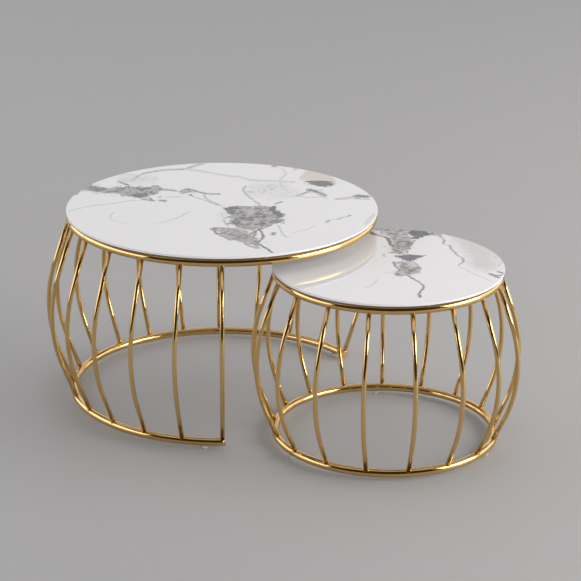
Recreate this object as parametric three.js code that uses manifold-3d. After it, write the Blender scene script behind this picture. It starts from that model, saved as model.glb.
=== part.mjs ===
// Two round nesting tables. Each has a stone top resting on a cage of bent steel rods
// between two steel rings, and stands on three plastic glides. The large cage is open
// on its +X side, and the small table slides in there, under the large top.
// Millimetres, +Z up. The origin is under the middle of the pair, on the floor.

import * as THREE from 'three';
import { mergeVertices } from 'three/addons/utils/BufferGeometryUtils.js';
import Module from 'manifold-3d';

const wasm = await Module();
wasm.setup();

// Driving dimensions: the large table
const LARGE_HEIGHT = 442;
const LARGE_TOP_RADIUS = 350;
const LARGE_BELLY_PAST_TOP = 45; // rods' widest middle line outside the stone's edge
const LARGE_BASE_SETBACK = 54; // bottom ring's middle line inside the rods' widest line
const LARGE_ROD_COUNT = 17;
const OPENING_ANGLE = 122; // degrees between the two rods beside the opening

// Driving dimensions: the small table, which takes its other sizes from the large one
const SMALL_ROD_COUNT = 17;
const SMALL_RING_SETBACK = 50.5; // top ring's middle line inside the rods' widest line
const SMALL_BASE_SETBACK = 50.7; // bottom ring's middle line inside the same line
const HEADROOM = 21; // from the small top up to the large top ring
const SIDE_CLEARANCE = 14; // from the small cage to the rods beside the opening
const NEST_BEARING = -8; // degrees from +X to the line the small table slides along
const REST_OVERLAP = 153; // how far the small top reaches under the large top

// Driving dimensions: what both tables share
const TOP_THICKNESS = 5;
const TOP_EDGE_CHAMFER = 0.6;
const SEAT_GAP = 2; // between the top ring's crown and the stone
const TOP_RING_DIAMETER = 18;
const BOTTOM_RING_DIAMETER = 18;
const ROD_DIAMETER = 10;
const BEND_RADIUS = 320; // rods, on their middle line
const BELLY_DROP = 8; // how far the rods' widest line lies below their half height
const MOST_OF_BEND = 0.9; // share of the largest bend that fits, which a rod may take
const RING_END_PAST_ROD = 6; // end of the open ring past its last rod's middle line
const RING_CAP_THICKNESS = 2;
const PAD_DIAMETER = 10;
const PAD_DEPTH = 3.5; // below the stone, astride the ring
const PADS_PER_TABLE = 4;
const GLIDE_HEIGHT = 6;
const GLIDE_FOOT_DIAMETER = 11;
const GLIDE_HEAD_DIAMETER = 14;
const GLIDE_EDGE = 1.5; // height of the glide's straight upper edge
const GLIDE_STEM_DIAMETER = 6;
const GLIDE_STEM_LENGTH = 8;
const GLIDE_FROM_RING_END = 6.3; // degrees from the last rod to the glide near it
const GLIDES_PER_TABLE = 3;
const TOUCH_GAP = 0.3; // air between pieces that touch

// Facets
const RING_SIDES = 12;
const RING_STEP = 7.5; // degrees
const ROD_SIDES = 8;
const ROD_STEPS = 8;
const TOP_FACETS = 72;
const SMALL_ROUND_FACETS = 12;
const WELD_TOLERANCE = 1e-4;

const radians = THREE.MathUtils.degToRad;

// The large cage follows the large top
const LARGE_BELLY_RADIUS = LARGE_TOP_RADIUS + LARGE_BELLY_PAST_TOP;
const LARGE_BASE_RADIUS = LARGE_BELLY_RADIUS - LARGE_BASE_SETBACK;

// Finishes
const stone = () => new THREE.MeshStandardMaterial({ color: '#e4e3e4', roughness: 0.12, metalness: 0 });
const goldSteel = () => new THREE.MeshStandardMaterial({ color: '#c9a057', roughness: 0.14, metalness: 1 });
const silicone = () => new THREE.MeshStandardMaterial({ color: '#dcdcd8', roughness: 0.45, metalness: 0 });
const clearPlastic = () => new THREE.MeshStandardMaterial({ color: '#e9e8e2', roughness: 0.3, metalness: 0 });

// A closed geometry as a solid that can be cut, and back again
function toSolid(geometry) {
  geometry.deleteAttribute('normal');
  geometry.deleteAttribute('uv');
  const merged = mergeVertices(geometry, WELD_TOLERANCE);
  const mesh = new wasm.Mesh({
    numProp: 3,
    vertProperties: merged.attributes.position.array,
    triVerts: merged.index.array,
  });
  return new wasm.Manifold(mesh);
}

function toGeometry(solid) {
  const mesh = solid.getMesh();
  const geometry = new THREE.BufferGeometry();
  geometry.setAttribute('position', new THREE.BufferAttribute(mesh.vertProperties, 3));
  geometry.setIndex(new THREE.BufferAttribute(mesh.triVerts, 1));
  geometry.computeVertexNormals();
  return geometry;
}

function addPiece(group, name, geometry, material) {
  const piece = new THREE.Mesh(geometry, material);
  piece.name = name;
  group.add(piece);
}

// A round body about a vertical axis, from a closed outline of [radius, height] points
function turned(outline, facets) {
  const points = outline.map(([radius, height]) => new THREE.Vector2(radius, height));
  return new THREE.LatheGeometry(points, facets).rotateX(Math.PI / 2);
}

function roundSection(radius, sides) {
  const section = new THREE.Shape();
  for (let side = 0; side < sides; side += 1) {
    const angle = (2 * Math.PI * side) / sides;
    const x = radius * Math.cos(angle);
    const y = radius * Math.sin(angle);
    if (side === 0) section.moveTo(x, y);
    else section.lineTo(x, y);
  }
  section.closePath();
  return section;
}

// A level arc about the table's axis, and the round bar swept along it
class LevelArc extends THREE.Curve {
  constructor(radius, height, start, end) {
    super();
    Object.assign(this, { radius, height, start, end });
  }

  getPoint(t, target = new THREE.Vector3()) {
    const angle = THREE.MathUtils.lerp(this.start, this.end, t);
    return target.set(this.radius * Math.cos(angle), this.radius * Math.sin(angle), this.height);
  }
}

function arcBar(ring, thickness, start, end) {
  const steps = Math.max(1, Math.round((end - start) / radians(RING_STEP)));
  const section = roundSection(thickness / 2, RING_SIDES);
  const extrudePath = new LevelArc(ring.radius, ring.height, start, end);
  return new THREE.ExtrudeGeometry(section, { steps, extrudePath, bevelEnabled: false });
}

// A whole ring, or an open one that stops at its two ends
function ringBar(ring, growth = 0) {
  const thickness = ring.diameter + 2 * growth;
  if (ring.start !== undefined) {
    const past = growth / ring.radius;
    return toSolid(arcBar(ring, thickness, ring.start - past, ring.end + past));
  }
  const steps = Math.round(360 / RING_STEP);
  const geometry = new THREE.TorusGeometry(ring.radius, thickness / 2, RING_SIDES, steps);
  return toSolid(geometry.translate(0, 0, ring.height));
}

// The middle line of a bent rod in the XZ plane: a straight run, a round bend and a straight
// run. The bend is held to what leaves both runs some length.
class BentRod extends THREE.Curve {
  constructor(table) {
    super();
    const foot = new THREE.Vector2(table.bottomRing.radius, table.bottomRing.height);
    const head = new THREE.Vector2(table.topRing.radius, table.topRing.height);
    const widest = (foot.y + head.y) / 2 - BELLY_DROP;
    const largestBend = (end) => {
      const standOut = table.belly - end.x;
      return (standOut ** 2 + (end.y - widest) ** 2) / (2 * standOut);
    };
    const bend = Math.min(BEND_RADIUS, MOST_OF_BEND * Math.min(largestBend(foot), largestBend(head)));
    const centre = new THREE.Vector2(table.belly - bend, widest);
    const touchAngle = (end) => {
      const away = end.clone().sub(centre);
      const swing = Math.acos(bend / away.length());
      return Math.atan2(away.y, away.x) - Math.sign(away.y) * swing;
    };
    const start = touchAngle(foot);
    this.line = new THREE.Path();
    this.line.moveTo(foot.x, foot.y);
    this.line.lineTo(centre.x + bend * Math.cos(start), centre.y + bend * Math.sin(start));
    this.line.absarc(centre.x, centre.y, bend, start, touchAngle(head), false);
    this.line.lineTo(head.x, head.y);
  }

  getPoint(t, target = new THREE.Vector3()) {
    const place = this.line.getPoint(t);
    return target.set(place.x, 0, place.y);
  }
}

// A rod, shaped at both ends to sit on the rings
function rod(table, angle, cutters) {
  const section = roundSection(ROD_DIAMETER / 2, ROD_SIDES);
  const extrudePath = new BentRod(table);
  const bent = new THREE.ExtrudeGeometry(section, { steps: ROD_STEPS, extrudePath, bevelEnabled: false });
  let solid = toSolid(bent.rotateZ(angle));
  for (const cutter of cutters) solid = solid.subtract(cutter);
  return toGeometry(solid);
}

// The stone top, with a fine chamfer round both edges
function stoneTop(table) {
  const radius = table.topRadius;
  const above = table.height;
  const below = above - TOP_THICKNESS;
  const outline = [
    [0, below],
    [radius - TOP_EDGE_CHAMFER, below],
    [radius, below + TOP_EDGE_CHAMFER],
    [radius, above - TOP_EDGE_CHAMFER],
    [radius - TOP_EDGE_CHAMFER, above],
    [0, above],
  ];
  return turned(outline, TOP_FACETS);
}

// A soft pad between the stone and the crown of the top ring, hollowed to fit the ring
function pad(table, angle, ringCutter) {
  const top = table.height - TOP_THICKNESS - TOUCH_GAP;
  const height = PAD_DEPTH - TOUCH_GAP;
  const disc = new THREE.CylinderGeometry(PAD_DIAMETER / 2, PAD_DIAMETER / 2, height, SMALL_ROUND_FACETS);
  disc.rotateX(Math.PI / 2);
  disc.translate(table.topRing.radius, 0, top - height / 2);
  disc.rotateZ(angle);
  return toGeometry(toSolid(disc).subtract(ringCutter));
}

// A glide's outline: a tapered foot and a stem. The socket for the stem is a little larger
function glideOutline() {
  const stem = GLIDE_STEM_DIAMETER / 2;
  const head = GLIDE_HEIGHT - TOUCH_GAP;
  return [
    [0, 0],
    [GLIDE_FOOT_DIAMETER / 2, 0],
    [GLIDE_HEAD_DIAMETER / 2, head - GLIDE_EDGE],
    [GLIDE_HEAD_DIAMETER / 2, head],
    [stem, head],
    [stem, GLIDE_HEIGHT + GLIDE_STEM_LENGTH],
    [0, GLIDE_HEIGHT + GLIDE_STEM_LENGTH],
  ];
}

function glideSocket(table, angle) {
  const radius = GLIDE_STEM_DIAMETER / 2 + TOUCH_GAP;
  const height = GLIDE_STEM_LENGTH + TOUCH_GAP + GLIDE_HEIGHT;
  const drill = new THREE.CylinderGeometry(radius, radius, height, SMALL_ROUND_FACETS);
  drill.rotateX(Math.PI / 2);
  drill.translate(table.bottomRing.radius, 0, height / 2);
  return toSolid(drill.rotateZ(angle));
}

function glide(table, angle) {
  const geometry = turned(glideOutline(), SMALL_ROUND_FACETS);
  geometry.translate(table.bottomRing.radius, 0, 0);
  return geometry.rotateZ(angle);
}

// The two discs that close the ends of the open ring
function addRingCaps(group, table) {
  const ring = table.bottomRing;
  const inner = TOUCH_GAP / ring.radius;
  const outer = (TOUCH_GAP + RING_CAP_THICKNESS) / ring.radius;
  const left = arcBar(ring, ring.diameter, ring.start - outer, ring.start - inner);
  const right = arcBar(ring, ring.diameter, ring.end + inner, ring.end + outer);
  addPiece(group, `${table.name}_ring_cap_left`, left, goldSteel());
  addPiece(group, `${table.name}_ring_cap_right`, right, goldSteel());
}

function makeTable(table) {
  const group = new THREE.Group();
  const topCutter = ringBar(table.topRing, TOUCH_GAP);
  const capRoom = table.bottomRing.start === undefined ? 0 : RING_CAP_THICKNESS + 2 * TOUCH_GAP;
  const bottomSpan = { ...table.bottomRing };
  if (capRoom > 0) {
    bottomSpan.start -= capRoom / bottomSpan.radius;
    bottomSpan.end += capRoom / bottomSpan.radius;
  }
  const bottomCutter = ringBar(bottomSpan, TOUCH_GAP);

  addPiece(group, `${table.name}_top`, stoneTop(table), stone());
  addPiece(group, `${table.name}_top_ring`, toGeometry(ringBar(table.topRing)), goldSteel());
  let bottomRing = ringBar(table.bottomRing);
  for (const angle of table.glideAngles) bottomRing = bottomRing.subtract(glideSocket(table, angle));
  addPiece(group, `${table.name}_bottom_ring`, toGeometry(bottomRing), goldSteel());
  if (capRoom > 0) addRingCaps(group, table);

  table.rodAngles.forEach((angle, index) => {
    const number = String(index + 1).padStart(2, '0');
    addPiece(group, `${table.name}_rod_${number}`, rod(table, angle, [topCutter, bottomCutter]), goldSteel());
  });
  table.padAngles.forEach((angle, index) => {
    addPiece(group, `${table.name}_pad_${index + 1}`, pad(table, angle, topCutter), silicone());
  });
  table.glideAngles.forEach((angle, index) => {
    addPiece(group, `${table.name}_glide_${index + 1}`, glide(table, angle), clearPlastic());
  });
  return group;
}

// What both tables take from the shared dimensions
function withRings(table) {
  const topRing = {
    radius: table.topRadius - TOP_RING_DIAMETER / 2,
    height: table.height - TOP_THICKNESS - SEAT_GAP - TOP_RING_DIAMETER / 2,
    diameter: TOP_RING_DIAMETER,
  };
  const bottomRing = {
    radius: table.baseRadius,
    height: GLIDE_HEIGHT + BOTTOM_RING_DIAMETER / 2,
    diameter: BOTTOM_RING_DIAMETER,
  };
  return { ...table, topRing, bottomRing };
}

function evenly(count, first, pitch) {
  return Array.from({ length: count }, (_, index) => first + index * pitch);
}

function largeTable() {
  const firstRod = radians(OPENING_ANGLE / 2);
  const pitch = (2 * Math.PI - 2 * firstRod) / (LARGE_ROD_COUNT - 1);
  const nearEnd = radians(GLIDE_FROM_RING_END);
  const table = withRings({
    name: 'large',
    height: LARGE_HEIGHT,
    topRadius: LARGE_TOP_RADIUS,
    baseRadius: LARGE_BASE_RADIUS,
    belly: LARGE_BELLY_RADIUS,
    rodAngles: evenly(LARGE_ROD_COUNT, firstRod, pitch),
    padAngles: evenly(PADS_PER_TABLE, Math.PI / PADS_PER_TABLE, (2 * Math.PI) / PADS_PER_TABLE),
    glideAngles: [Math.PI, firstRod + nearEnd, 2 * Math.PI - firstRod - nearEnd],
  });
  const past = RING_END_PAST_ROD - RING_CAP_THICKNESS - TOUCH_GAP;
  table.bottomRing.start = firstRod - past / LARGE_BASE_RADIUS;
  table.bottomRing.end = 2 * Math.PI - table.bottomRing.start;
  return table;
}

function smallTable() {
  const underRing = LARGE_HEIGHT - TOP_THICKNESS - SEAT_GAP - TOP_RING_DIAMETER;
  const passAngle = radians(OPENING_ANGLE / 2 - Math.abs(NEST_BEARING));
  const passWidth = LARGE_BELLY_RADIUS * Math.sin(passAngle) - ROD_DIAMETER;
  const belly = passWidth - SIDE_CLEARANCE;
  const pitch = (2 * Math.PI) / SMALL_ROD_COUNT;
  return withRings({
    name: 'small',
    height: underRing - HEADROOM,
    topRadius: belly - SMALL_RING_SETBACK + TOP_RING_DIAMETER / 2,
    baseRadius: belly - SMALL_BASE_SETBACK,
    belly,
    rodAngles: evenly(SMALL_ROD_COUNT, pitch / 2, pitch),
    padAngles: evenly(PADS_PER_TABLE, Math.PI / PADS_PER_TABLE, (2 * Math.PI) / PADS_PER_TABLE),
    glideAngles: evenly(GLIDES_PER_TABLE, 0, (2 * Math.PI) / GLIDES_PER_TABLE),
  });
}

const large = largeTable();
const small = smallTable();
const smallPlace = LARGE_TOP_RADIUS + small.topRadius - REST_OVERLAP;

const pair = new THREE.Group();
const smallGroup = makeTable(small);
smallGroup.position.x = smallPlace * Math.cos(radians(NEST_BEARING));
smallGroup.position.y = smallPlace * Math.sin(radians(NEST_BEARING));
pair.add(makeTable(large), smallGroup);

const extent = new THREE.Box3().setFromObject(pair, true);
const middle = extent.getCenter(new THREE.Vector3());
pair.position.set(-middle.x, -middle.y, -extent.min.z);

const group = new THREE.Group();
group.add(pair);

export default group;
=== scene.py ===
import math

import bpy
from mathutils import Matrix, Vector, noise


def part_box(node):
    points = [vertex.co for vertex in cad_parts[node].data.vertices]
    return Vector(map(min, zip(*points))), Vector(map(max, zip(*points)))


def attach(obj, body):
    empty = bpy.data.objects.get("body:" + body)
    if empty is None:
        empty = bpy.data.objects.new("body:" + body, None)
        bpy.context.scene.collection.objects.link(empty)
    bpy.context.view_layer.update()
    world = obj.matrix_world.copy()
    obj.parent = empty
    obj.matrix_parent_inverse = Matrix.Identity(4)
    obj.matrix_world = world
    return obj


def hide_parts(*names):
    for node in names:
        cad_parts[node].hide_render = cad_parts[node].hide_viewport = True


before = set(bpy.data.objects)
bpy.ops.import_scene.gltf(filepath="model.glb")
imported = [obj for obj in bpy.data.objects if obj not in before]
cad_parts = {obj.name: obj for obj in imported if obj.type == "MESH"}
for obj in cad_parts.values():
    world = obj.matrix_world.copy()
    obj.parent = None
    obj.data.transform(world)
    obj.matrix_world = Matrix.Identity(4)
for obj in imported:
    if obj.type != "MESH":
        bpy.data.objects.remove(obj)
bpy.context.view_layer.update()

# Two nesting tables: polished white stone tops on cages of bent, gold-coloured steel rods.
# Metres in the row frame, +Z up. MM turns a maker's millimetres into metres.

MM = 0.001

# Shapes the frame's boxes don't tell: the rods' bend
ROD_DIAMETER = 10 * MM
ROD_BEND_RADIUS = 320 * MM  # on the rod's middle line
MOST_OF_BEND = 0.9  # share of the largest bend that fits, which a rod may take
BELLY_DROP = 8 * MM  # how far the rods' widest line lies below their half height
ROD_DEEP_AT_FOOT = 2 * MM  # how far a rod ends under the bottom ring's skin
ROD_DEEP_AT_HEAD = 3 * MM  # the same at the top ring

# Fine edges
STONE_ARRIS = 0.9 * MM
RING_CAP_THICKNESS = 2 * MM
RING_CAP_ROUNDING = 0.8 * MM
PAD_SOFT_EDGE = 0.15 * MM
MOST_OF_EDGE = 0.45  # share of an outline's edge that a rounding may take at each end

# Welds
WELD_BEAD_RADIUS = 0.9 * MM
WELD_STAND_OUT = 0.2 * MM  # bead's middle line outside the rod's skin
WELD_RIPPLES = 9  # overlapping ripples round one rod
RIPPLE_HEIGHT = 0.14  # share of the bead's radius
WELD_SWELL = 0.25  # uneven laying, as a share of the bead's radius
RING_SEAM_ANGLE = -120.4  # degrees about Z: where the top rings' ends were joined
RING_SEAM_DEPTH = 0.6 * MM  # ridge's middle line inside the ring's skin
RING_SEAM_WIDTH = 1.1  # share of a weld bead's radius
RING_SEAM_SWELL = 0.2  # the same

# Glides
GLIDE_FOOT_RADIUS = 5.5 * MM
GLIDE_STEM_RADIUS = 3 * MM
GLIDE_EDGE = 1.5 * MM  # height of the glide's straight upper edge
GLIDE_ROUNDING = 1.2 * MM
TOUCH_GAP = 0.3 * MM

# How finely round shapes are drawn
STONE_STEPS = 256
RING_STEPS = 240
OPEN_RING_STEPS = 200
RING_SIDES = 24
RING_CAP_STEPS = 32
BEND_STEPS = 32
ROD_SIDES = 20
WELD_STEPS = 40
WELD_SIDES = 8
GLIDE_STEPS = 40
LEVEL_FACE = 0.999  # upright part of a face's normal, past which the face is level

# Where the camera stands, from the large table's middle on the floor
CAMERA_DISTANCE = 4.759
CAMERA_HEIGHT = 1.947
CAMERA_BEARING = 27.28  # degrees: which way the lens points, turned from +Y towards -X
CAMERA_STAND = 29.15  # degrees: where it stands, turned from -Y towards +X
CAMERA_DOWN = 19.71  # degrees below level
CAMERA_ROLL = 0.44  # degrees
CAMERA_LENS = 137.3  # mm
CAMERA_SENSOR = 36  # mm
CAMERA_SEES = 60  # metres

FLOOR_REACH = 20  # metres from the large table's middle, each way
FLOOR_SWIRLS = 18.0  # per metre

# The stone's pattern, in mm of its plan
PATTERN_TURN = 27.2  # degrees: the plan is drawn facing the camera
VEIN_HALF = 0.52  # a vein's half width, as a share of the width that is stated
VEIN_TIP = 8  # length over which a vein's end closes
SHORT_VEIN_TIP = 0.3  # the same on a short vein, as a share of its length
DRIFT_SOFTNESS = 7  # how far a drift's edge takes to fade in
DRIFT_TIP = -6  # half width at a drift's first and last row, where it has closed
DRIFT_TAIL = 34  # how far past those rows it goes on closing
DRIFT_SHUT = -40  # half width there, which no raggedness opens again
TEAR_REACH = 13.0  # how far a drift's edge is torn in and out
HAIR_REACH = 26.0  # how far hair cracks run out of a drift
FLAKE_SIZE = 15
CRACK_SPACING = 17
SEAM_SPACING = 26
BLOTCH_SIZE = 26
TEAR_SIZE = 17
FLECK_SIZE = 6
HAIR_SPACING = 46


# ---------------------------------------------------------------- measures from the frame

class Table:
    """One table's sizes and places, read from the boxes of its CAD nodes."""

    def __init__(self, name):
        self.name = name
        self.body = f"{name}_table"
        low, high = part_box(f"{name}_top")
        self.centre = Vector(((low.x + high.x) / 2, (low.y + high.y) / 2, 0))
        self.top_radius = (high.x - low.x) / 2
        self.top_low, self.top_high = low.z, high.z
        self.top_ring = self.ring_sizes(f"{name}_top_ring")
        self.bottom_ring = self.ring_sizes(f"{name}_bottom_ring")
        self.rods = self.named(f"{name}_rod_")
        self.glides = self.named(f"{name}_glide_")
        self.pads = self.named(f"{name}_pad_")
        widest = max(self.reach(node) for node in self.rods)
        self.belly = widest - ROD_DIAMETER / 2

    def named(self, start):
        return sorted(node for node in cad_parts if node.startswith(start))

    def ring_sizes(self, node):
        low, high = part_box(node)
        thick = high.z - low.z
        radius = self.centre.x - low.x - thick / 2
        return {"radius": radius, "height": (low.z + high.z) / 2, "thick": thick}

    def middle_of(self, node):
        low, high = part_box(node)
        return (low + high) / 2 - self.centre

    def angle_of(self, node):
        middle = self.middle_of(node)
        return math.atan2(middle.y, middle.x)

    def reach(self, node):
        """How far out from the table's axis a node on the -X side stands."""
        return self.centre.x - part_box(node)[0].x


# ---------------------------------------------------------------- mesh helpers

def add_mesh(name, points, faces, material, smooth=True):
    """A new piece in the scene, with one material."""
    mesh = bpy.data.meshes.new(name)
    mesh.from_pydata([tuple(p) for p in points], [], faces)
    mesh.validate()
    mesh.update()
    mesh.polygons.foreach_set("use_smooth", [smooth] * len(mesh.polygons))
    piece = bpy.data.objects.new(name, mesh)
    bpy.context.scene.collection.objects.link(piece)
    piece.data.materials.append(material)
    return piece


def turned(outline, steps):
    """Points and faces of a body turned about the Z axis. The outline starts and ends on it."""
    first, last = outline[0], outline[-1]
    rims = outline[1:-1]
    points = [(0, 0, first[1]), (0, 0, last[1])]
    faces = []
    for step in range(steps):
        angle = 2 * math.pi * step / steps
        points += [(r * math.cos(angle), r * math.sin(angle), z) for r, z in rims]
    count = len(rims)
    for step in range(steps):
        here = 2 + step * count
        there = 2 + (step + 1) % steps * count
        faces.append((0, there, here))
        for k in range(count - 1):
            faces.append((here + k, there + k, there + k + 1, here + k + 1))
        faces.append((1, here + count - 1, there + count - 1))
    return points, faces


def rounded(corners, radius, steps=5):
    """An outline with its inner corners rounded. The first and last points stay."""
    out = [corners[0]]
    for before, corner, after in zip(corners, corners[1:], corners[2:]):
        corner, before, after = Vector(corner), Vector(before), Vector(after)
        back, on = before - corner, after - corner
        reach = min(radius, back.length * MOST_OF_EDGE, on.length * MOST_OF_EDGE)
        start, end = corner + back.normalized() * reach, corner + on.normalized() * reach
        for k in range(steps + 1):
            t = k / steps
            out.append(tuple((1 - t) ** 2 * start + 2 * t * (1 - t) * corner + t * t * end))
    out.append(corners[-1])
    return out


def swept(line, radius_at, sides, closed, across=Vector((0, 0, 1))):
    """A round bar along a line of points, with closed ends if the line is open."""
    count = len(line)
    points, faces = [], []
    for k, place in enumerate(line):
        before = line[k - 1] if closed or k else place
        after = line[(k + 1) % count] if closed or k < count - 1 else place
        along = (after - before).normalized()
        side = along.cross(across).normalized()
        up = side.cross(along)
        for s in range(sides):
            angle = 2 * math.pi * s / sides
            out = side * math.cos(angle) + up * math.sin(angle)
            points.append(place + out * radius_at(k, angle))
    for k in range(count if closed else count - 1):
        here, there = k * sides, (k + 1) % count * sides
        for s in range(sides):
            t = (s + 1) % sides
            faces.append((here + s, there + s, there + t, here + t))
    if not closed:
        faces.append(tuple(range(sides)))
        faces.append(tuple(reversed(range((count - 1) * sides, count * sides))))
    return points, faces


def placed(points, matrix):
    return [matrix @ Vector(p) for p in points]


def joined(parts):
    """One set of points and faces from several."""
    points, faces = [], []
    for some_points, some_faces in parts:
        start = len(points)
        points += some_points
        faces += [tuple(start + i for i in face) for face in some_faces]
    return points, faces


# ---------------------------------------------------------------- material helpers

def linear(code):
    """An sRGB hex colour as linear light, fully opaque."""
    parts = [int(code[i:i + 2], 16) / 255 for i in (1, 3, 5)]
    light = [c / 12.92 if c <= 0.04045 else ((c + 0.055) / 1.055) ** 2.4 for c in parts]
    return (*light, 1.0)


class Nodes:
    """A material's node tree, with one way to add a node, its settings and its links.

    An input is given by its name, or by its place as _0, _1 and so on.
    """

    def __init__(self, name):
        self.material = bpy.data.materials.new(name)
        self.material.use_nodes = True
        self.tree = self.material.node_tree
        self.tree.nodes.clear()

    def add(self, kind, settings=None, **inputs):
        node = self.tree.nodes.new(kind)
        for key, value in (settings or {}).items():
            setattr(node, key, value)
        for key, value in inputs.items():
            place = int(key[1:]) if key[1:].isdigit() else key.replace("_", " ")
            socket = node.inputs[place]
            if isinstance(value, bpy.types.NodeSocket):
                self.tree.links.new(value, socket)
            else:
                socket.default_value = value
        return node


def gold_steel(name, roughness, shade):
    """Stainless steel rod and tube, mirror polished and gold coated by vapour deposition: a warm
    metal colour, sharp reflections, and the slight waviness and fine lines that polishing leaves."""
    n = Nodes(name)
    place = n.add("ShaderNodeTexCoord").outputs["Object"]
    wave = n.add("ShaderNodeTexNoise", Vector=place, Scale=1 / (30 * MM), Detail=2.0)
    lines = n.add("ShaderNodeTexNoise", Vector=place, Scale=1 / (1.2 * MM), Detail=3.0, Roughness=0.6)
    wear = n.add("ShaderNodeMapRange", Value=wave.outputs["Fac"], From_Min=0.3, From_Max=0.7,
                 To_Min=roughness * 0.8, To_Max=roughness * 1.25)
    tone = n.add("ShaderNodeMix", {"data_type": "RGBA"}, _0=wave.outputs["Fac"],
                 _6=linear(shade[0]), _7=linear(shade[1]))
    dents = n.add("ShaderNodeBump", Strength=0.06, Distance=0.5 * MM, Height=wave.outputs["Fac"])
    scratch = n.add("ShaderNodeBump", Strength=0.04, Distance=0.05 * MM, Height=lines.outputs["Fac"],
                    Normal=dents.outputs["Normal"])
    skin = n.add("ShaderNodeBsdfPrincipled", Base_Color=tone.outputs[2], Metallic=1.0,
                 Roughness=wear.outputs["Result"], Normal=scratch.outputs["Normal"])
    n.add("ShaderNodeOutputMaterial", Surface=skin.outputs["BSDF"])
    return n.material


def glide_plastic():
    """Injection-moulded polypropylene, milky and half clear, with a satin skin scuffed by floors."""
    n = Nodes("moulded_clear_polypropylene")
    place = n.add("ShaderNodeTexCoord").outputs["Object"]
    scuff = n.add("ShaderNodeTexNoise", Vector=place, Scale=1 / (2 * MM), Detail=4.0)
    skin_roughness = n.add("ShaderNodeMapRange", Value=scuff.outputs["Fac"], To_Min=0.22, To_Max=0.42)
    rough = n.add("ShaderNodeBump", Strength=0.15, Distance=0.1 * MM, Height=scuff.outputs["Fac"])
    skin = n.add("ShaderNodeBsdfPrincipled", Base_Color=linear("#eae6da"), IOR=1.49,
                 Roughness=skin_roughness.outputs["Result"], Normal=rough.outputs["Normal"])
    skin.inputs["Transmission Weight"].default_value = 0.35
    n.add("ShaderNodeOutputMaterial", Surface=skin.outputs["BSDF"])
    return n.material


def pad_silicone():
    """Cast clear silicone: soft, slightly cloudy, with a dull skin that holds dust."""
    n = Nodes("cast_clear_silicone")
    place = n.add("ShaderNodeTexCoord").outputs["Object"]
    dust = n.add("ShaderNodeTexNoise", Vector=place, Scale=1 / (1 * MM), Detail=3.0)
    dull = n.add("ShaderNodeMapRange", Value=dust.outputs["Fac"], To_Min=0.35, To_Max=0.6)
    skin = n.add("ShaderNodeBsdfPrincipled", Base_Color=linear("#dcdcd8"), IOR=1.41,
                 Roughness=dull.outputs["Result"])
    skin.inputs["Transmission Weight"].default_value = 0.5
    n.add("ShaderNodeOutputMaterial", Surface=skin.outputs["BSDF"])
    return n.material


# ---------------------------------------------------------------- the stone's pattern

# Each slab's plan in mm from its middle: X to the right and Y away, as seen from the camera.
# A vein is (width, depth of grey, points it runs through).
# A drift is a mottled field of grey, or of beige, between two edges. It is (axis it runs along,
# depth, how closed its grain is, rows of place on that axis and both edges there, and how softly
# its edge fades if it isn't DRIFT_SOFTNESS). A drift with its own softness is a haze.

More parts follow.
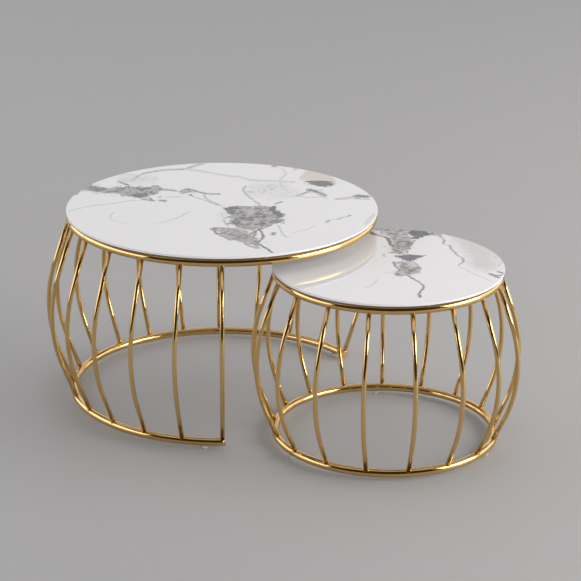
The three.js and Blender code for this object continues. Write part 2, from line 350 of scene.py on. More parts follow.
LARGE_VEINS = (
    (8, 0.45, ((-318, 150), (-330, 115), (-340, 75))),
    (9, 0.50, ((-252, 192), (-240, 180), (-228, 165), (-216, 158))),
    (10, 0.50, ((-160, 133), (-130, 125), (-103, 116))),
    (8, 0.50, ((-68, 123), (-50, 105), (-32, 97), (-3, 95))),
    (5, 0.60, ((-105, 103), (-93, 126), (-83, 134), (-70, 125), (-50, 102))),
    (6, 0.65, ((-78, 93), (-69, 76))),
    (3.5, 0.36, ((-41, 95), (-43, 80), (-38, 62), (-20, 32), (2, 0))),
    (3.5, 0.36, ((-77, 88), (-62, 68), (-41, 50), (-20, 22), (2, 0))),
    (8, 0.50, ((-190, 58), (-170, 47), (-152, 36))),
    (6, 0.50, ((-172, 68), (-162, 50), (-167, 36))),
    (9, 0.52, ((-150, 44), (-138, 42), (-122, 37))),
    (4, 0.35, ((-138, 84), (-145, 68), (-136, 57))),
    (5, 0.22, ((-136, 58), (-126, 70), (-110, 72), (-92, 75))),
    (6, 0.30, ((70, 50), (60, 75), (48, 110), (45, 132), (50, 166))),
    (4, 0.42, ((68, 52), (76, 35), (87, 10))),
    (6, 0.55, ((114, 20), (124, 32), (138, 43))),
    (7, 0.14, ((123, 314), (138, 285), (141, 260), (130, 214), (132, 159))),
    (11, 0.34, ((-202, 248), (-182, 264), (-150, 282), (-120, 290), (-92, 293))),
    (12, 0.30, ((-94, 293), (-80, 315), (-68, 330), (-52, 344))),
    (8, 0.26, ((-232, 203), (-212, 213), (-205, 232), (-198, 252))),
    (14, 0.15, ((-97, 293), (-50, 273), (5, 241), (36, 232), (59, 209), (110, 203), (168, 195))),
    (7, 0.16, ((-252, 243), (-225, 244), (-198, 240))),
    (5, 0.50, ((205, 140), (192, 118), (168, 90), (148, 82))),
    (9, 0.60, ((198, 142), (208, 126), (220, 112), (230, 97))),
    (5, 0.26, ((150, 83), (175, 84), (195, 75), (225, 80), (242, 58))),
    (8, 0.28, ((248, 65), (275, 72), (300, 85), (338, 98))),
    (6, 0.24, ((252, 60), (300, 68), (338, 62))),
    (5, 0.34, ((294, -50), (270, -72), (257, -85), (240, -92), (233, -114))),
    (6, 0.17, ((-345, -48), (-300, -5), (-255, 14), (-182, 45), (-148, 42))),
    (5, 0.14, ((-158, -134), (-114, -105), (-68, -36))),
    (5, 0.12, ((-240, -40), (-246, -85), (-200, -132))),
    (5, 0.13, ((157, -188), (195, -150), (210, -125))),
    (7, 0.14, ((342, -38), (330, -80), (316, -126))),
    (6, 0.55, ((84, -150), (92, -182), (96, -218), (84, -248))),
    (9, 0.50, ((119, -178), (117, -204))),
    (5, 0.22, ((126, -130), (132, -160), (136, -186), (152, -220))),
    (6, 0.66, ((84, -256), (104, -291), (119, -323))),
    (5, 0.50, ((52, -250), (70, -280), (87, -298))),
    (4, 0.45, ((70, -252), (80, -275), (91, -294))),
    (5, 0.28, ((4, -92), (12, -120), (18, -143))),
    (6, 0.12, ((-4, -43), (2, -70), (8, -102))),
    (7, 0.75, ((26, -103), (34, -125), (43, -147))),
    (6, 0.60, ((116, -126), (98, -150), (80, -172), (66, -204))),
    (5, 0.55, ((60, -140), (72, -165), (78, -190), (74, -222))),
    (6, 0.55, ((-21, -154), (-12, -175), (-2, -198), (10, -215), (30, -242))),
)
LARGE_DRIFTS = (
    ("x", 0.82, 0.45, ((-335, 125, 130), (-325, 115, 152), (-300, 102, 154), (-270, 94, 142),
                       (-250, 92, 146), (-228, 80, 152), (-210, 68, 148), (-190, 62, 152),
                       (-168, 72, 156), (-152, 100, 156), (-143, 128, 134))),
    ("x", 0.86, 0.75, ((-326, 142, 146), (-312, 124, 156), (-296, 112, 154), (-280, 114, 144),
                       (-264, 126, 130))),
    ("x", 0.96, 0.80, ((-230, 84, 88), (-210, 66, 90), (-196, 62, 96), (-178, 76, 100),
                       (-166, 88, 92))),
    ("x", 0.58, 0.55, ((-108, 100, 104), (-98, 97, 120), (-86, 98, 134), (-74, 99, 126),
                       (-62, 104, 108))),
    ("y", 0.82, 0.36, ((10, 80, 84), (2, 8, 126), (-20, 5, 128), (-40, 10, 136), (-60, 14, 144),
                       (-80, 15, 134), (-100, 18, 144), (-118, 16, 138), (-135, 26, 108),
                       (-152, 34, 92), (-170, 60, 64))),
    ("y", 0.92, 0.80, ((2, 20, 24), (-6, 4, 42), (-20, 5, 40), (-36, 9, 32), (-50, 16, 29),
                       (-60, 22, 25))),
    ("y", 0.98, 0.80, ((14, 114, 117), (4, 105, 126), (-20, 104, 128), (-44, 108, 140),
                       (-60, 114, 144), (-76, 120, 134), (-86, 126, 129))),
    ("y", 0.84, 0.70, ((-92, 100, 104), (-100, 96, 136), (-112, 101, 140), (-122, 108, 128),
                       (-130, 116, 119))),
    ("y", 0.62, 0.48, ((-148, -18, -15), (-156, -22, 34), (-170, -14, 56), (-190, -6, 70),
                       (-210, 6, 80), (-228, 22, 87), (-246, 42, 90), (-262, 58, 90),
                       (-280, 76, 94), (-296, 92, 95))),
    ("y", 0.74, 0.85, ((-148, -21, -19), (-156, -23, -6), (-168, -14, -4), (-178, -9, -6))),
    ("y", 0.80, 0.80, ((-234, 80, 83), (-240, 74, 88), (-250, 73, 88), (-257, 79, 81))),
    ("y", 0.92, 0.70, ((207, 216, 222), (201, 182, 258), (190, 188, 255), (176, 202, 251),
                       (164, 218, 244), (152, 233, 237))),
    ("x", 0.72, 0.45, ((184, 130, 134), (196, 120, 146), (212, 106, 134), (226, 94, 126),
                       (242, 84, 90))),
    ("x", 0.74, 0.45, ((288, 78, 82), (300, 68, 94), (318, 70, 102), (334, 74, 96), (344, 84, 86))),
    ("x", 0.22, 0.35, ((-262, 200, 210), (-240, 172, 245), (-200, 165, 250), (-170, 172, 240),
                       (-145, 200, 215)), 40),
    ("x", 0.20, 0.15, ((40, 110, 120), (70, 60, 190), (110, 50, 196), (150, 70, 190),
                       (180, 110, 130)), 45),
    ("x", 0.62, 0.75, ((100, 328, 331), (108, 318, 335), (116, 316, 332), (126, 322, 325))),
    ("x", 0.40, 0.60, ((154, 298, 302), (164, 290, 310), (176, 296, 300))),
)
LARGE_BEIGE = (
    ("y", 0.85, 1.00, ((296, 190, 200), (280, 182, 226), (255, 180, 244), (230, 176, 256),
                       (212, 178, 259), (203, 190, 250))),
    ("y", 0.40, 1.00, ((-56, 60, 80), (-80, 24, 100), (-130, 30, 100), (-190, 10, 76),
                       (-240, 40, 84), (-262, 60, 80))),
)

SMALL_VEINS = (
    (6, 0.80, ((-38, 232), (-23, 207), (-8, 195), (1, 187), (8, 163), (10, 140), (17, 114))),
    (11, 0.55, ((-40, 234), (-28, 215), (-20, 205), (-10, 197))),
    (9, 0.62, ((-38, 246), (-20, 246), (2, 243))),
    (8, 0.62, ((13, 107), (20, 97), (23, 86))),
    (5, 0.60, ((46, 97), (45, 78))),
    (6, 0.50, ((67, 172), (58, 152), (54, 135), (50, 117), (52, 100))),
    (5, 0.35, ((36, 104), (33, 85), (29, 68))),
    (5, 0.35, ((10, 256), (12, 225), (7, 200))),
    (5, 0.35, ((-4, 240), (-7, 215), (-2, 200))),
    (6, 0.40, ((29, 246), (26, 215), (30, 190))),
    (6, 0.40, ((40, 240), (46, 215), (52, 192))),
    (6, 0.52, ((12, 24), (13, 3), (17, -17), (23, -35), (19, -52))),
    (5, 0.42, ((56, 20), (62, 0), (67, -17), (62, -40), (50, -62))),
    (9, 0.55, ((23, -11), (38, -19))),
    (5, 0.56, ((28, -54), (37, -67), (50, -90), (60, -110), (68, -133), (65, -157), (57, -183),
               (58, -210))),
    (5, 0.38, ((119, 203), (130, 170), (127, 147), (140, 133), (143, 107), (153, 70), (163, 37),
               (160, 17), (148, -4))),
    (5, 0.13, ((147, -2), (170, -37), (193, -73), (218, -108))),
    (8, 0.58, ((212, -48), (222, -65), (234, -82))),
    (7, 0.55, ((231, -33), (242, -52))),
    (6, 0.42, ((216, -61), (232, -62), (247, -54))),
    (5, 0.13, ((-58, -152), (-37, -127), (-27, -91))),
    (6, 0.22, ((-5, 78), (-8, 60), (1, 46))),
    (7, 0.22, ((232, 68), (239, 48))),
    (5, 0.16, ((247, 34), (234, -12))),
)
SMALL_DRIFTS = (
    ("y", 0.72, 0.34, ((258, -30, 70), (240, -20, 62), (220, -8, 58), (200, 0, 58), (180, 6, 62),
                       (160, 12, 64), (140, 14, 58), (115, 14, 54), (95, 14, 50), (75, 12, 44),
                       (62, 24, 30))),
    ("y", 0.96, 0.84, ((246, 64, 74), (238, 52, 92), (226, 44, 103), (210, 52, 103), (196, 58, 92),
                       (182, 60, 76), (166, 66, 69))),
    ("y", 0.92, 0.78, ((74, 46, 52), (66, 34, 72), (60, 14, 86), (52, 14, 84), (42, 29, 72),
                       (30, 33, 60), (18, 46, 52))),
    ("y", 0.66, 0.32, ((30, 30, 40), (18, 12, 57), (0, 12, 57), (-16, 16, 66), (-34, 20, 65),
                       (-50, 13, 60), (-64, 13, 48), (-84, 18, 22))),
    ("y", 0.60, 0.40, ((240, 100, 108), (224, 102, 124), (206, 106, 130), (190, 118, 124))),
    ("y", 0.13, 1.00, ((215, 140, 150), (190, 132, 246), (130, 142, 250), (70, 158, 250),
                       (10, 162, 250), (-20, 168, 248), (-60, 205, 215)), 35),
)
SMALL_BEIGE = (
    ("y", 0.70, 1.00, ((195, 20, 40), (180, 10, 54), (150, 14, 58), (115, 14, 52), (88, 18, 40))),
    ("y", 0.80, 1.00, ((-6, 34, 50), (-20, 26, 62), (-44, 24, 60), (-62, 26, 48))),
    ("y", 0.30, 1.00, ((215, 140, 160), (190, 140, 240), (100, 160, 246), (0, 175, 246),
                       (-30, 190, 230)), 40),
)


def set_curve(node, points):
    """Runs a curve node smoothly through points, in whatever units they are in."""
    mapping = node.mapping
    mapping.use_clip = False
    mapping.extend = "HORIZONTAL"
    curve = mapping.curves[0]
    points = sorted(points)
    curve.points[0].location = points[0]
    curve.points[1].location = points[-1]
    for place in points[1:-1]:
        curve.points.new(*place)
    for point in curve.points:
        point.handle_type = "AUTO_CLAMPED"
    mapping.update()
    return node.outputs["Value"]


def middle_and_edge(n, along, across, middle, half):
    """How far a spot lies inside a band, from the band's middle line and half widths."""
    line = set_curve(n.add("ShaderNodeFloatCurve", Value=along), middle)
    off = n.add("ShaderNodeMath", {"operation": "SUBTRACT"}, _0=across, _1=line)
    off = n.add("ShaderNodeMath", {"operation": "ABSOLUTE"}, _0=off.outputs[0])
    edge = set_curve(n.add("ShaderNodeFloatCurve", Value=along), half)
    return n.add("ShaderNodeMath", {"operation": "SUBTRACT"}, _0=edge, _1=off.outputs[0]).outputs[0]


def vein(n, plan, width, depth, points):
    """A line of grey, darkest along its middle and fading out at both ends."""
    run = (points[-1][0] - points[0][0], points[-1][1] - points[0][1])
    way = 0 if abs(run[0]) > abs(run[1]) else 1
    length = sum(math.dist(a, b) for a, b in zip(points, points[1:]))
    half = VEIN_HALF * width * length / abs(run[way])
    middle = [(p[way], p[1 - way]) for p in points]
    first, last = sorted((points[0][way], points[-1][way]))
    fade = min(VEIN_TIP, (last - first) * SHORT_VEIN_TIP)
    reach = [(first - 1, -half), (first + fade, half), (last - fade, half), (last + 1, -half)]
    inside = middle_and_edge(n, plan[way], plan[1 - way], middle, reach)
    return n.add("ShaderNodeMapRange", Value=inside, From_Min=-0.7 * half, From_Max=0.9 * half,
                 To_Min=0.0, To_Max=depth).outputs["Result"]


def drift(n, plan, texture, way, depth, closed, rows, soft=DRIFT_SOFTNESS):
    """A mottled field of grey. A closed grain hides the white ground, an open one shows it."""
    grain, ragged = texture
    way = "xy".index(way)
    middle = [(place, (low + high) / 2) for place, low, high in rows]
    half = [(place, (high - low) / 2) for place, low, high in rows]
    first, last = rows[0][0], rows[-1][0]
    tail = math.copysign(DRIFT_TAIL, last - first)
    head_end = [(first - tail, DRIFT_SHUT), (first, DRIFT_TIP)]
    far_end = [(last, DRIFT_TIP), (last + tail, DRIFT_SHUT)]
    half = [*head_end, *half[1:-1], *far_end]
    inside = middle_and_edge(n, plan[way], plan[1 - way], middle, half)
    torn = n.add("ShaderNodeMath", {"operation": "ADD"}, _0=inside, _1=ragged).outputs[0]
    body = n.add("ShaderNodeMapRange", {"interpolation_type": "SMOOTHSTEP"}, Value=torn,
                 From_Min=-0.3 * soft, From_Max=soft, To_Min=0.0, To_Max=depth)
    fill = n.add("ShaderNodeMapRange", Value=grain, To_Min=closed, To_Max=1.0)
    grey = n.add("ShaderNodeMath", {"operation": "MULTIPLY"},
                 _0=body.outputs["Result"], _1=fill.outputs["Result"]).outputs[0]
    return grey, inside


def darkest(n, greys):
    """The darkest of several greys at each spot."""
    total = greys[0]
    for grey in greys[1:]:
        total = n.add("ShaderNodeMath", {"operation": "MAXIMUM"}, _0=total, _1=grey).outputs[0]
    return total


def stirred(n, plan, size, shift):
    """The plan with its lines made to wander by noise of a given size and reach, in mm: as one
    vector, and as its X and Y."""
    swirl = n.add("ShaderNodeTexNoise", Vector=plan, Scale=1 / size, Detail=4.0, Roughness=0.62)
    back = n.add("ShaderNodeVectorMath", {"operation": "SUBTRACT"}, _0=plan,
                 _1=(shift / 2, shift / 2, 0))
    moved = n.add("ShaderNodeVectorMath", {"operation": "MULTIPLY_ADD"}, _0=swirl.outputs["Color"],
                  _1=(shift, shift, 0), _2=back.outputs[0])
    split = n.add("ShaderNodeSeparateXYZ", Vector=moved.outputs[0])
    return moved.outputs[0], (split.outputs["X"], split.outputs["Y"])


def from_middle(n, wandering):
    """How far a noise is from its middle value, which it crosses along thin wandering lines."""
    off = n.add("ShaderNodeMath", {"operation": "SUBTRACT"}, _0=wandering.outputs["Fac"], _1=0.5)
    return n.add("ShaderNodeMath", {"operation": "ABSOLUTE"}, _0=off.outputs[0]).outputs[0]


def broken_grain(n, plan):
    """Broken stone: flakes of different greys, with dark cracks and white seams between them."""
    broken = stirred(n, plan, 14, 22)[0]
    flake = n.add("ShaderNodeTexVoronoi", Vector=broken, Scale=1 / FLAKE_SIZE)
    level = n.add("ShaderNodeMapRange", Value=flake.outputs["Color"], From_Min=0.3, From_Max=0.7,
                  To_Min=0.05, To_Max=0.9)
    crack = n.add("ShaderNodeTexVoronoi", {"feature": "DISTANCE_TO_EDGE"}, Vector=broken,
                  Scale=1 / CRACK_SPACING)
    cracks = n.add("ShaderNodeMapRange", Value=crack.outputs["Distance"], From_Min=0.02, From_Max=0.1,
                   To_Min=1.1, To_Max=0.0)
    mix = n.add("ShaderNodeMath", {"operation": "MAXIMUM"}, _0=level.outputs["Result"],
                _1=cracks.outputs["Result"])
    seam = n.add("ShaderNodeTexNoise", Vector=broken, Scale=1 / SEAM_SPACING, Detail=3.0,
                 Distortion=1.5)
    seams = n.add("ShaderNodeMapRange", Value=from_middle(n, seam), From_Min=0.008, From_Max=0.035,
                  To_Min=0.25, To_Max=1.0)
    blotch = n.add("ShaderNodeTexNoise", Vector=plan, Scale=1 / BLOTCH_SIZE, Detail=6.0,
                   Roughness=0.62, Distortion=1.4)
    cover = n.add("ShaderNodeMapRange", Value=blotch.outputs["Fac"], From_Min=0.42, From_Max=0.6,
                  To_Min=0.15, To_Max=1.35)
    cover = n.add("ShaderNodeMath", {"operation": "MULTIPLY"}, _0=cover.outputs["Result"],
                  _1=seams.outputs["Result"])
    return n.add("ShaderNodeMath", {"operation": "MULTIPLY"}, _0=mix.outputs[0],
                 _1=cover.outputs[0]).outputs[0]


def torn_edge(n, plan):
    """How far in or out a drift's edge is torn at each spot, in mm."""
    tear = n.add("ShaderNodeTexNoise", Vector=plan, Scale=1 / TEAR_SIZE, Detail=7.0, Roughness=0.72)
    return n.add("ShaderNodeMapRange", Value=tear.outputs["Fac"], From_Min=0.3, From_Max=0.7,
                 To_Min=-TEAR_REACH, To_Max=TEAR_REACH).outputs["Result"]


def all_veins(n, plan, fleck, veins):
    """Every vein of a slab. Flecks make them come and go along their length."""
    strength = n.add("ShaderNodeMapRange", Value=fleck.outputs["Fac"], From_Min=0.3, From_Max=0.7,
                     To_Min=0.6, To_Max=1.9)
    lines = darkest(n, [vein(n, plan, *shape) for shape in veins])
    return n.add("ShaderNodeMath", {"operation": "MULTIPLY"}, _0=lines,
                 _1=strength.outputs["Result"]).outputs[0]


def hair_cracks(n, plan, insides):
    """Hair-thin cracks that run out of the drifts into the white."""
    hair = n.add("ShaderNodeTexNoise", Vector=plan, Scale=1 / HAIR_SPACING, Detail=2.5,
                 Roughness=0.5, Distortion=0.8)
    hairs = n.add("ShaderNodeMapRange", Value=from_middle(n, hair), From_Max=0.014,
                  To_Min=0.42, To_Max=0.0)
    near = n.add("ShaderNodeMapRange", Value=darkest(n, insides), From_Min=-HAIR_REACH, From_Max=0.0)
    return n.add("ShaderNodeMath", {"operation": "MULTIPLY"}, _0=hairs.outputs["Result"],
                 _1=near.outputs["Result"]).outputs[0]


def is_haze(shape):
    """Whether a drift has a softness of its own, after its rows."""
    return len(shape) > 4


def stone_shades(n, grey):
    """The stone's colour at each depth of grey."""
    ramp = n.add("ShaderNodeValToRGB", Fac=grey)
    shades = ((0.0, "#ededf1"), (0.2, "#cdcdd1"), (0.5, "#939196"), (0.8, "#505059"), (1.0, "#2c2c33"))
    elements = ramp.color_ramp.elements
    while len(elements) < len(shades):
        elements.new(0.5)
    for element, (at, shade) in zip(elements, shades):
        element.position = at
        element.color = linear(shade)
    return ramp.outputs["Color"]


def veined_stone(table, veins, drifts, beiges):
    """Polished white stone with grey veins, cut thin: a cool white ground, veins and mottled drifts
    in cool greys with beige between, under a clear, flat, mirror-like polish."""
    n = Nodes(f"polished_white_veined_stone_{table.name}")
    place = n.add("ShaderNodeTexCoord").outputs["Object"]
    turn = (0, 0, math.radians(PATTERN_TURN))
    plan = n.add("ShaderNodeMapping", {"vector_type": "TEXTURE"}, Vector=place, Rotation=turn,
                 Location=table.centre, Scale=(MM, MM, MM)).outputs["Vector"]
    fine = stirred(n, plan, 18, 12)[1]
    coarse = stirred(n, plan, 30, 30)[1]
    texture = (broken_grain(n, plan), torn_edge(n, plan))
    fleck = n.add("ShaderNodeTexNoise", Vector=plan, Scale=1 / FLECK_SIZE, Detail=4.0, Roughness=0.65)

    fields = [drift(n, coarse, texture, *shape) for shape in drifts]
    solid = [inside for shape, (grey, inside) in zip(drifts, fields) if not is_haze(shape)]
    lines = [all_veins(n, fine, fleck, veins), hair_cracks(n, plan, solid)]
    grey = darkest(n, lines + [grey for grey, inside in fields])
    warm = darkest(n, [drift(n, coarse, texture, *shape)[0] for shape in beiges])

    tint = n.add("ShaderNodeMix", {"data_type": "RGBA", "blend_type": "MULTIPLY"}, _0=warm,
                 _6=stone_shades(n, grey), _7=linear("#e0d6ca"))
    polish = n.add("ShaderNodeMapRange", Value=fleck.outputs["Fac"], To_Min=0.05, To_Max=0.09)
    skin = n.add("ShaderNodeBsdfPrincipled", Base_Color=tint.outputs[2], IOR=1.54,
                 Roughness=polish.outputs["Result"])
    n.add("ShaderNodeOutputMaterial", Surface=skin.outputs["BSDF"])
    return n.material


# ---------------------------------------------------------------- pieces

def stone_top(table, material):
    """The stone disc: flat polished faces and an edge eased all round."""
    low, high = table.top_low, table.top_high
    corners = [(0, low), (table.top_radius, low), (table.top_radius, high), (0, high)]
    points, faces = turned(rounded(corners, STONE_ARRIS), STONE_STEPS)
    points = placed(points, Matrix.Translation(table.centre))
    piece = add_mesh(f"{table.name}_stone_top", points, faces, material)
    flatten_faces(piece)
    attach(piece, table.body)
    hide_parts(f"{table.name}_top")


def flatten_faces(piece):
    """Keeps the two broad faces flat in shading, next to the rounded edge."""
    for face in piece.data.polygons:
        if abs(face.normal.z) > LEVEL_FACE:
            face.use_smooth = False


def on_ring(table, ring, angle):
    """A place on a ring's middle line."""
    radius, height = ring["radius"], ring["height"]
    return table.centre + Vector((radius * math.cos(angle), radius * math.sin(angle), height))


def ring_line(table, ring, start=0.0, end=2 * math.pi, steps=RING_STEPS, closed=True):
    """A ring's middle line, all the way round or from one angle to another."""
    count = steps if closed else steps + 1
    return [on_ring(table, ring, start + (end - start) * k / steps) for k in range(count)]


def whole_ring(table, place, material):
    """A round bar bent into a closed ring."""
    ring = getattr(table, f"{place}_ring")
    node = f"{table.name}_{place}_ring"
    line = ring_line(table, ring)
    points, faces = swept(line, lambda k, a: ring["thick"] / 2, RING_SIDES, True)
    piece = add_mesh(f"{node}_bar", points, faces, material)
    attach(piece, table.body)
    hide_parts(node)


def open_ring(table, material):
    """The large table's bottom ring, from one end cap round to the other."""
    ring = table.bottom_ring
    left = table.angle_of("large_ring_cap_left")
    right = table.angle_of("large_ring_cap_right") % (2 * math.pi)
    half_cap = RING_CAP_THICKNESS / 2 / ring["radius"]
    start, end = left + half_cap, right - half_cap
    line = ring_line(table, ring, start, end, OPEN_RING_STEPS, closed=False)
    points, faces = swept(line, lambda k, a: ring["thick"] / 2, RING_SIDES, False)
    piece = add_mesh("large_bottom_ring_tube", points, faces, material)
    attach(piece, table.body)
    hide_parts("large_bottom_ring")
    for side, angle in (("left", left), ("right", right)):
        ring_cap(table, side, angle, material)


def ring_cap(table, side, angle, material):
    """A disc welded over the tube's end and polished to a soft edge."""
    ring = table.bottom_ring
    radius, half = ring["thick"] / 2, RING_CAP_THICKNESS / 2
    corners = [(0, -half), (radius, -half), (radius, half), (0, half)]
    points, faces = turned(rounded(corners, RING_CAP_ROUNDING), RING_CAP_STEPS)
    place = on_ring(table, ring, angle)
    turn = Matrix.Rotation(angle, 4, "Z") @ Matrix.Rotation(-math.pi / 2, 4, "X")
    points = placed(points, Matrix.Translation(place) @ turn)
    piece = add_mesh(f"large_ring_end_{side}", points, faces, material)
    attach(piece, table.body)
    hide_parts(f"large_ring_cap_{side}")


def rod_line(table):
    """The rod's middle line from ring to ring, as (out, up) pairs: straight, bent, straight."""
    foot = Vector((table.bottom_ring["radius"], table.bottom_ring["height"]))
    head = Vector((table.top_ring["radius"], table.top_ring["height"]))
    widest = (foot.y + head.y) / 2 - BELLY_DROP

    def largest_bend(end):
        stand_out = table.belly - end.x
        return (stand_out ** 2 + (end.y - widest) ** 2) / (2 * stand_out)

    radius = min(ROD_BEND_RADIUS, MOST_OF_BEND * min(largest_bend(foot), largest_bend(head)))
    centre = Vector((table.belly - radius, widest))

    def touch(end):
        away = end - centre
        swing = math.acos(radius / away.length)
        return math.atan2(away.y, away.x) - math.copysign(swing, away.y)

    start, end = touch(foot), touch(head)
    angles = [start + (end - start) * k / BEND_STEPS for k in range(BEND_STEPS + 1)]
    bend = [centre + radius * Vector((math.cos(a), math.sin(a))) for a in angles]
    foot_reach = table.bottom_ring["thick"] / 2 - ROD_DEEP_AT_FOOT
    head_reach = table.top_ring["thick"] / 2 - ROD_DEEP_AT_HEAD
    foot = foot + (bend[0] - foot).normalized() * foot_reach
    head = head + (bend[-1] - head).normalized() * head_reach
    return [foot, *bend, head]


def bent_rod(table, node, material):
    """A round rod, cut to end inside both rings."""
    angle = table.angle_of(node)
    out = Vector((math.cos(angle), math.sin(angle), 0))
    line = [table.centre + out * p.x + Vector((0, 0, p.y)) for p in rod_line(table)]
    across = Vector((-math.sin(angle), math.cos(angle), 0))
    points, faces = swept(line, lambda k, a: ROD_DIAMETER / 2, ROD_SIDES, False, across)
    piece = add_mesh(node.replace("_rod_", "_bent_rod_"), points, faces, material)
    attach(piece, table.body)
    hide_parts(node)


def weld_bead(table, ring, middle, inward, angle, seed):
    """A fillet weld round the rod where it meets the ring, laid in small overlapping ripples."""
    out = Vector((math.cos(angle), math.sin(angle), 0))
    across = Vector((-math.sin(angle), math.cos(angle), 0))
    up = Vector((0, 0, 1))
    origin = table.centre + out * middle.x + up * middle.y
    along = out * inward.x + up * inward.y
    side = along.cross(across).normalized()
    radius = ROD_DIAMETER / 2
    turns = [2 * math.pi * k / WELD_STEPS for k in range(WELD_STEPS)]
    line = []
    for turn in turns:
        offset = across * math.cos(turn) + side * math.sin(turn)
        skew = offset.dot(side) * radius
        clear = (ring["thick"] / 2) ** 2 - skew ** 2
        rise = math.sqrt(max(clear, 0))
        line.append(origin + offset * (radius + WELD_STAND_OUT) + along * rise)

    def bead(k, a):
        ripple = RIPPLE_HEIGHT * math.cos(turns[k] * WELD_RIPPLES)
        swell = WELD_SWELL * noise.noise(Vector((seed * 1.7, 3 * math.cos(turns[k]), 0.5)))
        return WELD_BEAD_RADIUS * (1 + ripple + swell)

    return swept(line, bead, WELD_SIDES, True, along)


def ring_seam(table, material):
    """The butt weld that closes the top ring, dressed down to a low, soft ridge round the tube."""
    ring = table.top_ring
    angle = math.radians(RING_SEAM_ANGLE)
    out = Vector((math.cos(angle), math.sin(angle), 0))
    up = Vector((0, 0, 1))
    origin = table.centre + out * ring["radius"] + up * ring["height"]
    turns = [2 * math.pi * k / WELD_STEPS for k in range(WELD_STEPS)]
    reach = ring["thick"] / 2 - RING_SEAM_DEPTH
    line = [origin + (out * math.cos(turn) + up * math.sin(turn)) * reach for turn in turns]

    def ridge(k, a):
        swell = RING_SEAM_SWELL * noise.noise(Vector((math.cos(turns[k]), math.sin(turns[k]), 4.2)))
        return WELD_BEAD_RADIUS * (RING_SEAM_WIDTH + swell)

    points, faces = swept(line, ridge, WELD_SIDES, True, out.cross(up))
    piece = add_mesh(f"{table.name}_top_ring_seam", points, faces, material)
    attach(piece, table.body)


def ring_welds(table, place, material):
    """All the welds along one ring, as one piece."""
    line = rod_line(table)
    if place == "bottom":
        ring, inward = table.bottom_ring, (line[1] - line[0]).normalized()
    else:
        ring, inward = table.top_ring, (line[-2] - line[-1]).normalized()
    middle = Vector((ring["radius"], ring["height"]))
    beads = [weld_bead(table, ring, middle, inward, table.angle_of(node), seed)
             for seed, node in enumerate(table.rods)]
    points, faces = joined(beads)
    piece = add_mesh(f"{table.name}_{place}_ring_welds", points, faces, material)
    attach(piece, table.body)


def glide(table, node, material):
    """A tapered moulded foot with a round lip, and its stem up in the ring."""
    low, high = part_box(node)
    radius = (high.x - low.x) / 2
    head = table.bottom_ring["height"] - table.bottom_ring["thick"] / 2 - TOUCH_GAP
    corners = [
        (0, 0),
        (GLIDE_FOOT_RADIUS, 0),
        (radius, head - GLIDE_EDGE),
        (radius, head),
        (GLIDE_STEM_RADIUS, head),
        (GLIDE_STEM_RADIUS, high.z),
        (0, high.z),
    ]
    points, faces = turned(rounded(corners, GLIDE_ROUNDING), GLIDE_STEPS)
    middle = table.middle_of(node) + table.centre
    points = placed(points, Matrix.Translation((middle.x, middle.y, 0)))
    piece = add_mesh(node.replace("_glide_", "_moulded_glide_"), points, faces, material)
    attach(piece, table.body)
    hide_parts(node)


def soften_pad(node, material):
    """The CAD pad keeps its shape and gets softer edges and its own silicone."""
    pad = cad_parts[node]
    pad.data.materials.clear()
    pad.data.materials.append(material)
    edge = pad.modifiers.new("soft_edge", "BEVEL")
    edge.width = PAD_SOFT_EDGE
    edge.segments = 2


# ---------------------------------------------------------------- stage, light, camera

def point_at(thing, target):
    """Turns a lamp to face a place."""
    thing.rotation_euler = (target - thing.location).to_track_quat("-Z", "Y").to_euler()


def around(centre, turn, distance, height):
    """A place on a circle round the tables. Turn 0 is the camera's side, 90 is on its right."""
    angle = math.radians(CAMERA_STAND - 90 + turn)
    return centre + Vector((distance * math.cos(angle), distance * math.sin(angle), height))


def soft_box(name, place, target, width, height, glow, colour="#ffffff"):
    """A flat, even lamp. Its glow is how bright its face looks, where 1 is full white."""
    lamp = bpy.data.lights.new(name, "AREA")
    lamp.shape = "RECTANGLE"
    lamp.size, lamp.size_y = width, height
    lamp.energy = glow * math.pi * width * height
    lamp.color = linear(colour)[:3]
    thing = bpy.data.objects.new(name, lamp)
    thing.location = place
    thing.visible_camera = False
    point_at(thing, target)
    bpy.context.scene.collection.objects.link(thing)
    return thing


def studio(centre):
    """Large soft lamps above, behind and to both sides, which the metal mirrors as a bright room.
    A front lamp fills the shade, but the metal doesn't mirror it, so its front stays dark."""
    low, high = centre + Vector((0, 0, 0.3)), centre + Vector((0, 0, 1.8))
    soft_box("overhead", around(centre, 180, 0.8, 4.8), low, 8.0, 6.2, 0.7)
    soft_box("back_wall", around(centre, 180, 6.0, 2.1), high, 9.4, 3.7, 0.85)
    soft_box("left_wall", around(centre, -98, 5.1, 2.0), high, 8.8, 3.5, 1.8)
    soft_box("right_wall", around(centre, 105, 5.1, 2.0), high, 7.4, 3.5, 1.5)
    soft_box("right_window", around(centre, 74, 4.6, 2.0), low, 3.4, 2.6, 6.0, "#fffaf2")
    fill = soft_box("front_fill", around(centre, 8, 5.4, 1.6), low, 7.0, 3.0, 2.25, "#f4f8ff")
    fill.visible_glossy = False
    world = bpy.data.worlds.new("studio_room")
    bpy.context.scene.world = world
    world.use_nodes = True
    back = world.node_tree.nodes["Background"]
    back.inputs["Color"].default_value = linear("#d8b890")
    back.inputs["Strength"].default_value = 0.06


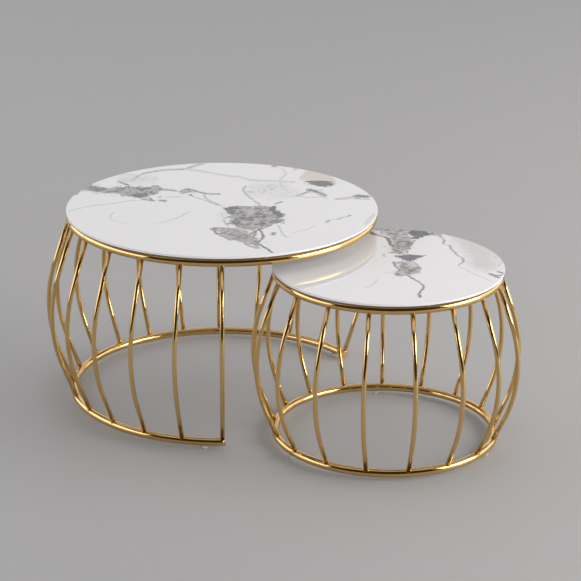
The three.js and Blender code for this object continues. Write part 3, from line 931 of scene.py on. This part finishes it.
def floor_piece(centre):
    """A wide, pale, plain floor: a matt coating whose gloss varies a little from place to place."""
    n = Nodes("pale_matt_floor")
    place = n.add("ShaderNodeTexCoord").outputs["Object"]
    grain = n.add("ShaderNodeTexNoise", Vector=place, Scale=FLOOR_SWIRLS, Detail=3.0)
    gloss = n.add("ShaderNodeMapRange", Value=grain.outputs["Fac"], To_Min=0.5, To_Max=0.6)
    skin = n.add("ShaderNodeBsdfPrincipled", Base_Color=linear("#b0b0b2"),
                 Roughness=gloss.outputs["Result"])
    n.add("ShaderNodeOutputMaterial", Surface=skin.outputs["BSDF"])
    sides = [(-1, -1, 0), (1, -1, 0), (1, 1, 0), (-1, 1, 0)]
    corners = [Vector(side) * FLOOR_REACH + centre for side in sides]
    piece = add_mesh("floor", corners, [(0, 1, 2, 3)], n.material, False)


def camera(centre):
    """The camera, a little above head height, looking down on the tables through a long lens."""
    lens = bpy.data.cameras.new("camera")
    lens.lens = CAMERA_LENS
    lens.sensor_width = CAMERA_SENSOR
    lens.clip_end = CAMERA_SEES
    eye = bpy.data.objects.new("camera", lens)
    eye.location = around(centre, 0, CAMERA_DISTANCE, CAMERA_HEIGHT)
    turn = Matrix.Rotation(math.radians(CAMERA_BEARING), 4, "Z")
    tilt = Matrix.Rotation(math.radians(90 - CAMERA_DOWN), 4, "X")
    roll = Matrix.Rotation(math.radians(CAMERA_ROLL), 4, "Z")
    eye.rotation_euler = (turn @ tilt @ roll).to_euler()
    bpy.context.scene.collection.objects.link(eye)
    bpy.context.scene.camera = eye


def make_table(table, finishes):
    """All the pieces of one table."""
    stone_top(table, finishes[f"{table.name}_stone"])
    whole_ring(table, "top", finishes["gold"])
    if table.name == "large":
        open_ring(table, finishes["gold"])
    else:
        whole_ring(table, "bottom", finishes["gold"])
    for node in table.rods:
        bent_rod(table, node, finishes["gold"])
    for place in ("top", "bottom"):
        ring_welds(table, place, finishes["weld"])
    ring_seam(table, finishes["weld"])
    for node in table.glides:
        glide(table, node, finishes["plastic"])
    for node in table.pads:
        soften_pad(node, finishes["silicone"])


large, small = Table("large"), Table("small")
finishes = {
    "gold": gold_steel("mirror_polished_gold_steel", 0.1, ("#e2c184", "#dab575")),
    "weld": gold_steel("gold_steel_weld_bead", 0.16, ("#d6ae70", "#c89e60")),
    "plastic": glide_plastic(),
    "silicone": pad_silicone(),
    "large_stone": veined_stone(large, LARGE_VEINS, LARGE_DRIFTS, LARGE_BEIGE),
    "small_stone": veined_stone(small, SMALL_VEINS, SMALL_DRIFTS, SMALL_BEIGE),
}
make_table(large, finishes)
make_table(small, finishes)
bpy.context.scene.view_settings.view_transform = "Standard"
camera(large.centre)
studio((large.centre + small.centre) / 2)
floor_piece(large.centre)
